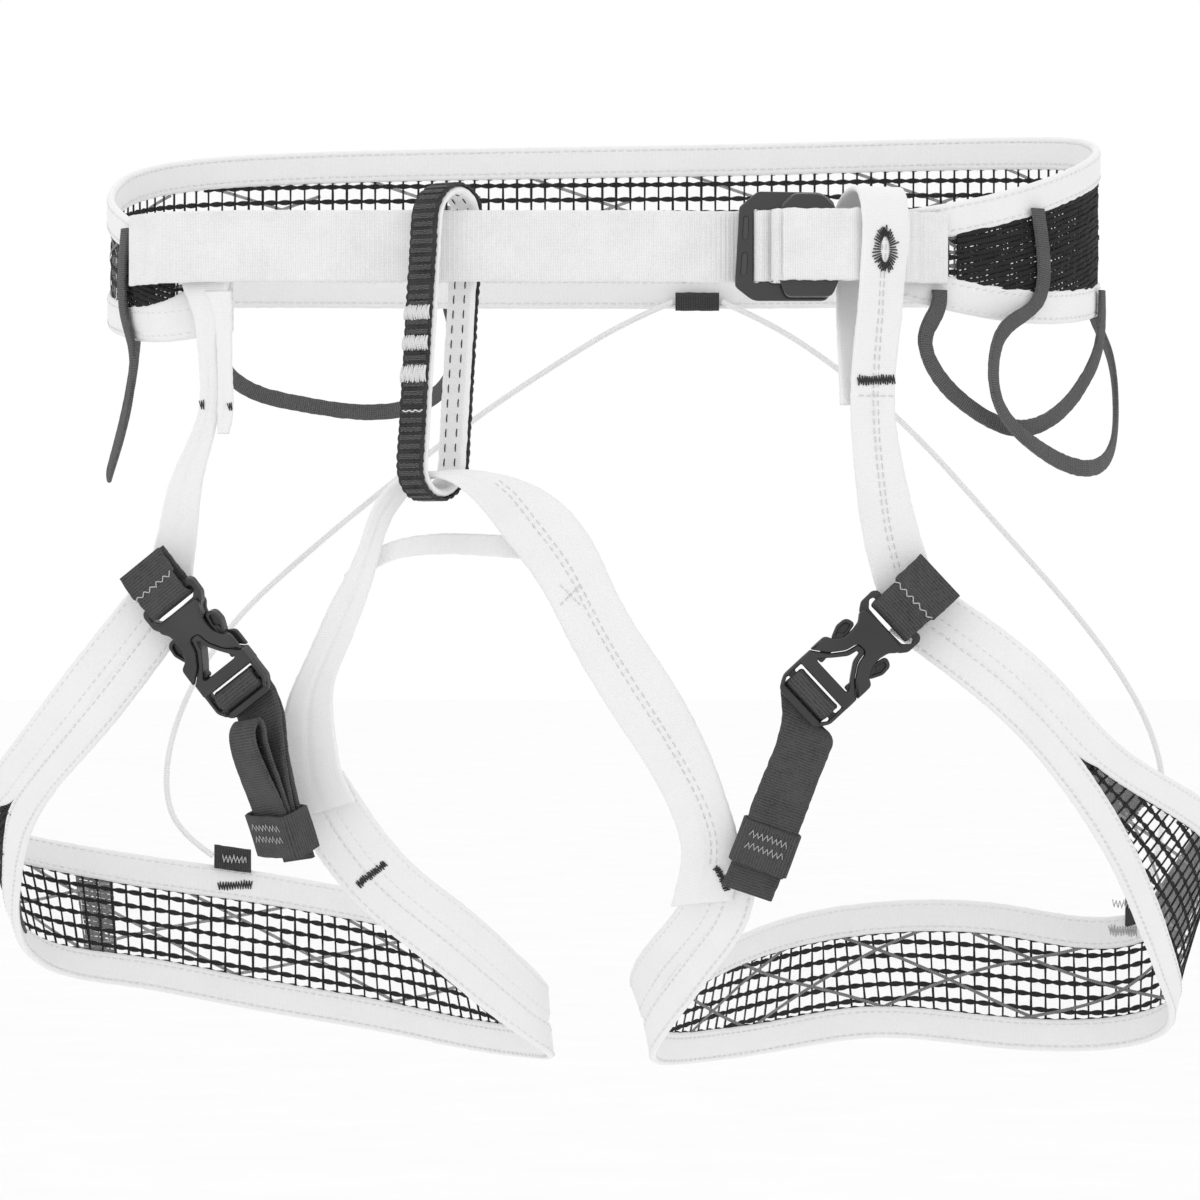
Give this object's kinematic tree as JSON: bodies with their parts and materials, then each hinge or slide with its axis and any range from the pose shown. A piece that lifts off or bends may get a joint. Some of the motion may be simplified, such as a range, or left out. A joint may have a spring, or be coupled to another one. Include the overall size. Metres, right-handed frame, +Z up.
{
  "type": "climbing harness",
  "caption": "Lightweight climbing harness with mesh waist belt, belay loop, two adjustable leg loops, gear loops and side-release leg buckles.",
  "frame": {"origin": "middle of the waist opening, level with the front webbing", "axes": "+X across the waist, towards the buckle; +Z up; -Y in front of the wearer"},
  "size_m": [0.4659, 0.2075, 0.3462],
  "materials": {
    "white_webbing": "woven polyester webbing",
    "white_binding": "split webbing binding",
    "black_mesh": "open yarn grid on clear film",
    "dark_webbing": "woven webbing",
    "grey_webbing": "ribbed narrow webbing",
    "elastic": "braided elastic",
    "black_metal": "glossy",
    "dark_plastic": "satin"
  },
  "bodies": {
    "root": {"waist_panel_mesh": "black_mesh", "waist_binding_top": "white_binding", "waist_binding_bottom": "white_binding", "waist_webbing_front": "white_webbing", "waist_webbing_right": "white_webbing", "waist_webbing_tail": "white_webbing", "waist_elastic_tab": "dark_webbing", "riser_left": "white_webbing", "riser_left_tail": "white_webbing", "riser_right": "white_webbing", "elastic_cord_left": "elastic", "elastic_cord_right": "elastic"},
    "leg_loops": {"belay_loop_core": "white_webbing", "belay_loop_cover": "dark_webbing", "crosspiece_strap": "white_webbing", "cross_link": "white_webbing", "leg_binding_top_left": "white_binding", "leg_binding_bottom_left": "white_binding", "leg_mesh_left": "black_mesh", "leg_fork_patch_left": "grey_webbing", "leg_cross_strap_left": "grey_webbing", "leg_elastic_tab_left": "dark_webbing", "leg_anchor_webbing_left": "dark_webbing", "leg_buckle_female_left": "dark_plastic", "leg_adjuster_strap_left": "dark_webbing", "leg_binding_top_right": "white_binding", "leg_binding_bottom_right": "white_binding", "leg_mesh_right": "black_mesh", "leg_fork_patch_right": "grey_webbing", "leg_cross_strap_right": "grey_webbing", "leg_elastic_tab_right": "dark_webbing", "leg_anchor_webbing_right": "dark_webbing", "leg_buckle_female_right": "dark_plastic", "leg_adjuster_strap_right": "dark_webbing"},
    "buckle_frame": {"waist_buckle_frame": "black_metal"},
    "buckle_slide": {"waist_buckle_slide": "black_metal"},
    "gear_loop_right_front_body": {"gear_loop_right_front": "grey_webbing"},
    "gear_loop_right_side_body": {"gear_loop_right_side": "grey_webbing"},
    "gear_loop_left_rear_body": {"gear_loop_left_rear": "grey_webbing"},
    "gear_loop_left_side_body": {"gear_loop_left_side": "grey_webbing"},
    "leg_buckle_left": {"leg_buckle_male_left": "dark_plastic"},
    "keeper_left": {"leg_keeper_left": "dark_plastic"},
    "leg_buckle_right": {"leg_buckle_male_right": "dark_plastic"},
    "keeper_right": {"leg_keeper_right": "dark_plastic"}
  },
  "joints": [
    {"name": "leg_loops_swing", "type": "hinge", "parent": "root", "child": "leg_loops", "pos_m": [0, -0.091, -0.0085], "axis": [1, 0, 0], "range_deg": [-8, 8], "stiffness_Nm_per_rad": 1.5, "springref_deg": 1.38, "deforming": ["riser_left", "riser_left_tail", "riser_right", "elastic_cord_left", "elastic_cord_right"]},
    {"name": "waist_buckle_frame_tilt", "type": "hinge", "parent": "root", "child": "buckle_frame", "pos_m": [0.0572, -0.089, -0.0085], "axis": [0, 0, 1], "range_deg": [0, 3]},
    {"name": "waist_buckle_slide_slip", "type": "slide", "parent": "root", "child": "buckle_slide", "axis": [1, 0, 0], "range_m": [0, 0.003]},
    {"name": "gear_loop_right_front_fold", "type": "hinge", "parent": "root", "child": "gear_loop_right_front_body", "pos_m": [0.1158, -0.0766, -0.0231], "axis": [-0.7684, -0.6389, -0.0359], "range_deg": [0, 4], "stiffness_Nm_per_rad": 0.02},
    {"name": "gear_loop_right_side_fold", "type": "hinge", "parent": "root", "child": "gear_loop_right_side_body", "pos_m": [0.1521, -0.0587, 0.0067], "axis": [-0.3289, -0.9293, 0.168], "range_deg": [0, 15], "stiffness_Nm_per_rad": 0.02},
    {"name": "gear_loop_left_rear_fold", "type": "hinge", "parent": "root", "child": "gear_loop_left_rear_body", "pos_m": [-0.1438, 0.0733, -0.011], "axis": [0.9861, 0.1659, -0.0039], "range_deg": [0, 15], "stiffness_Nm_per_rad": 0.02},
    {"name": "gear_loop_left_side_fold", "type": "hinge", "parent": "root", "child": "gear_loop_left_side_body", "pos_m": [-0.1711, 0.0467, -0.004], "axis": [-0.0396, 0.9984, -0.0393], "range_deg": [0, 15], "stiffness_Nm_per_rad": 0.02},
    {"name": "leg_buckle_left_release", "type": "slide", "parent": "leg_loops", "child": "leg_buckle_left", "axis": [0.6113, 0, -0.7914], "range_m": [0, 0.016], "deforming": ["leg_adjuster_strap_left"]},
    {"name": "leg_keeper_left_slide", "type": "slide", "parent": "leg_loops", "child": "keeper_left", "axis": [0.1361, 0.2722, -0.9526], "range_m": [-0.004, 0.004]},
    {"name": "leg_buckle_right_release", "type": "slide", "parent": "leg_loops", "child": "leg_buckle_right", "axis": [-0.7317, 0, -0.6816], "range_m": [0, 0.016], "deforming": ["leg_adjuster_strap_right"]},
    {"name": "leg_keeper_right_slide", "type": "slide", "parent": "leg_loops", "child": "keeper_right", "axis": [-0.2775, 0.2271, -0.9335], "range_m": [-0.004, 0.004]}
  ]
}
